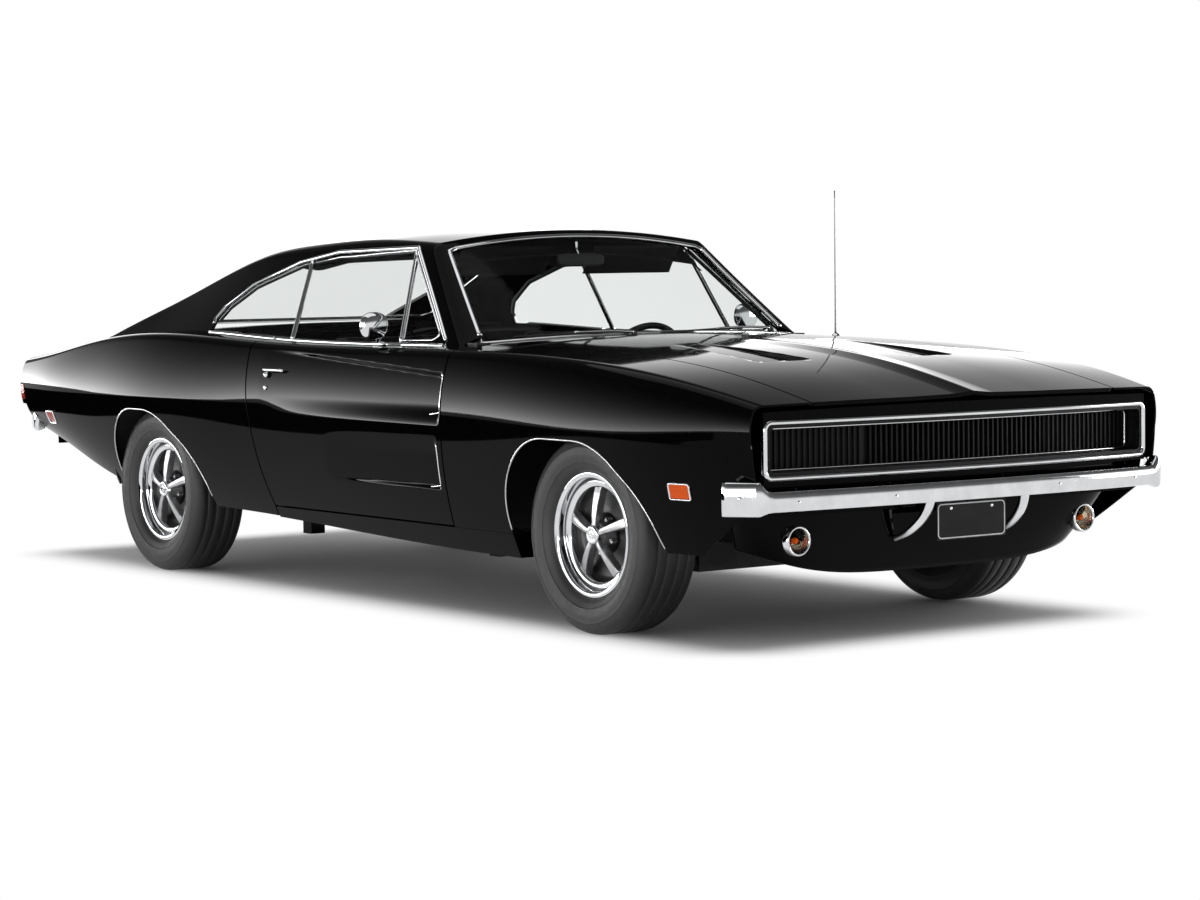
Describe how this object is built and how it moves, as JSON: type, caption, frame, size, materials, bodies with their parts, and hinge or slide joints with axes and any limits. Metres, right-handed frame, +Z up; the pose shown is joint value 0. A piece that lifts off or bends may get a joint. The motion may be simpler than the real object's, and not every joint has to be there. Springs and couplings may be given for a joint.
{
  "type": "muscle car",
  "caption": "Two-door fastback muscle car with long hood, concealed headlamps, sail panels, doors, hood and trunk lid that open, and steered road wheels.",
  "frame": {"origin": "on the ground under the middle of the car", "axes": "+X forward, +Y to the car's left, +Z up"},
  "size_m": [5.282, 1.9456, 1.5],
  "materials": {
    "paint": "gloss black paint",
    "under": "satin black underbody",
    "chrome": "bright chrome",
    "glass": "clear",
    "rubber": "satin black",
    "wheel": "bright spokes with black recesses",
    "trim": "black vinyl",
    "plastic": "matte black",
    "red_lens": "clear red",
    "amber_lens": "clear amber",
    "clear_lens": "clear",
    "iron": "dull",
    "steel": "dull steel"
  },
  "bodies": {
    "body": {"antenna": "chrome", "aprons": "under", "cabin_mirror": "plastic", "cowl": "paint", "dashboard": "plastic", "engine": "iron", "exhaust": "steel", "fenders": "paint", "firewall": "under", "floor_pan": "under", "front_bumper": "chrome", "front_markers": "amber_lens", "front_seats": "trim", "front_suspension": "iron", "front_valance": "paint", "fuel_tank": "steel", "grille": "plastic", "headlamp_doors": "plastic", "leaf_springs": "iron", "nose_panel": "paint", "number_plate": "plastic", "quarter_panels": "paint", "quarter_windows": "glass", "rear_axle": "iron", "rear_bumper": "chrome", "rear_deck": "paint", "rear_markers": "red_lens", "rear_seat": "trim", "rear_wheelhouses": "under", "rear_window": "glass", "roof": "paint", "sills": "paint", "tail_lamps": "red_lens", "tail_panel": "paint", "turn_lamps": "clear_lens", "windshield": "glass", "wipers": "chrome"},
    "door_left": {"door_left": "paint", "door_glass_left": "glass", "door_fittings_left": "chrome"},
    "door_right": {"door_right": "paint", "door_glass_right": "glass", "door_fittings_right": "chrome"},
    "hood": {"hood": "paint"},
    "trunk_lid": {"trunk_lid": "paint"},
    "steering_wheel": {"steering_wheel": "plastic"},
    "knuckle_left": {"knuckle_left": "iron"},
    "knuckle_right": {"knuckle_right": "iron"},
    "wheel_front_left": {"tyre_front_left": "rubber", "wheel_front_left": "wheel"},
    "wheel_front_right": {"tyre_front_right": "rubber", "wheel_front_right": "wheel"},
    "wheel_rear_left": {"tyre_rear_left": "rubber", "wheel_rear_left": "wheel"},
    "wheel_rear_right": {"tyre_rear_right": "rubber", "wheel_rear_right": "wheel"}
  },
  "joints": [
    {"name": "door_left_hinge", "type": "hinge", "parent": "body", "child": "door_left", "pos_m": [0.987, 0.918, 0.6], "axis": [0, 0, -1], "range_deg": [0, 65]},
    {"name": "door_right_hinge", "type": "hinge", "parent": "body", "child": "door_right", "pos_m": [0.987, -0.918, 0.6], "axis": [0, 0, 1], "range_deg": [0, 65]},
    {"name": "hood_hinge", "type": "hinge", "parent": "body", "child": "hood", "pos_m": [1, 0, 0.924], "axis": [0, -1, 0], "range_deg": [0, 50]},
    {"name": "trunk_hinge", "type": "hinge", "parent": "body", "child": "trunk_lid", "pos_m": [-1.51, 0, 0.938], "axis": [0, 1, 0], "range_deg": [0, 70]},
    {"name": "steer_left", "type": "hinge", "parent": "body", "child": "knuckle_left", "pos_m": [1.671, 0.715, 0.335], "axis": [0, 0, 1], "range_deg": [-33, 33]},
    {"name": "steer_right", "type": "hinge", "parent": "body", "child": "knuckle_right", "pos_m": [1.671, -0.715, 0.335], "axis": [0, 0, 1], "range_deg": [-33, 33]},
    {"name": "steering_wheel_turn", "type": "hinge", "parent": "body", "child": "steering_wheel", "pos_m": [0.322, 0.372, 0.812], "axis": [-0.9135, 0, 0.4067], "range_deg": [-520, 520]},
    {"name": "wheel_front_left_spin", "type": "hinge", "parent": "knuckle_left", "child": "wheel_front_left", "pos_m": [1.671, 0.77, 0.335], "axis": [0, 1, 0], "continuous": true},
    {"name": "wheel_rear_left_spin", "type": "hinge", "parent": "body", "child": "wheel_rear_left", "pos_m": [-1.301, 0.77, 0.335], "axis": [0, 1, 0], "continuous": true},
    {"name": "wheel_front_right_spin", "type": "hinge", "parent": "knuckle_right", "child": "wheel_front_right", "pos_m": [1.671, -0.77, 0.335], "axis": [0, 1, 0], "continuous": true},
    {"name": "wheel_rear_right_spin", "type": "hinge", "parent": "body", "child": "wheel_rear_right", "pos_m": [-1.301, -0.77, 0.335], "axis": [0, 1, 0], "continuous": true}
  ],
  "couplings": [
    {"joint": "steer_right", "follows": "steer_left", "ratio": 1},
    {"joint": "steering_wheel_turn", "follows": "steer_left", "ratio": 15.7}
  ]
}
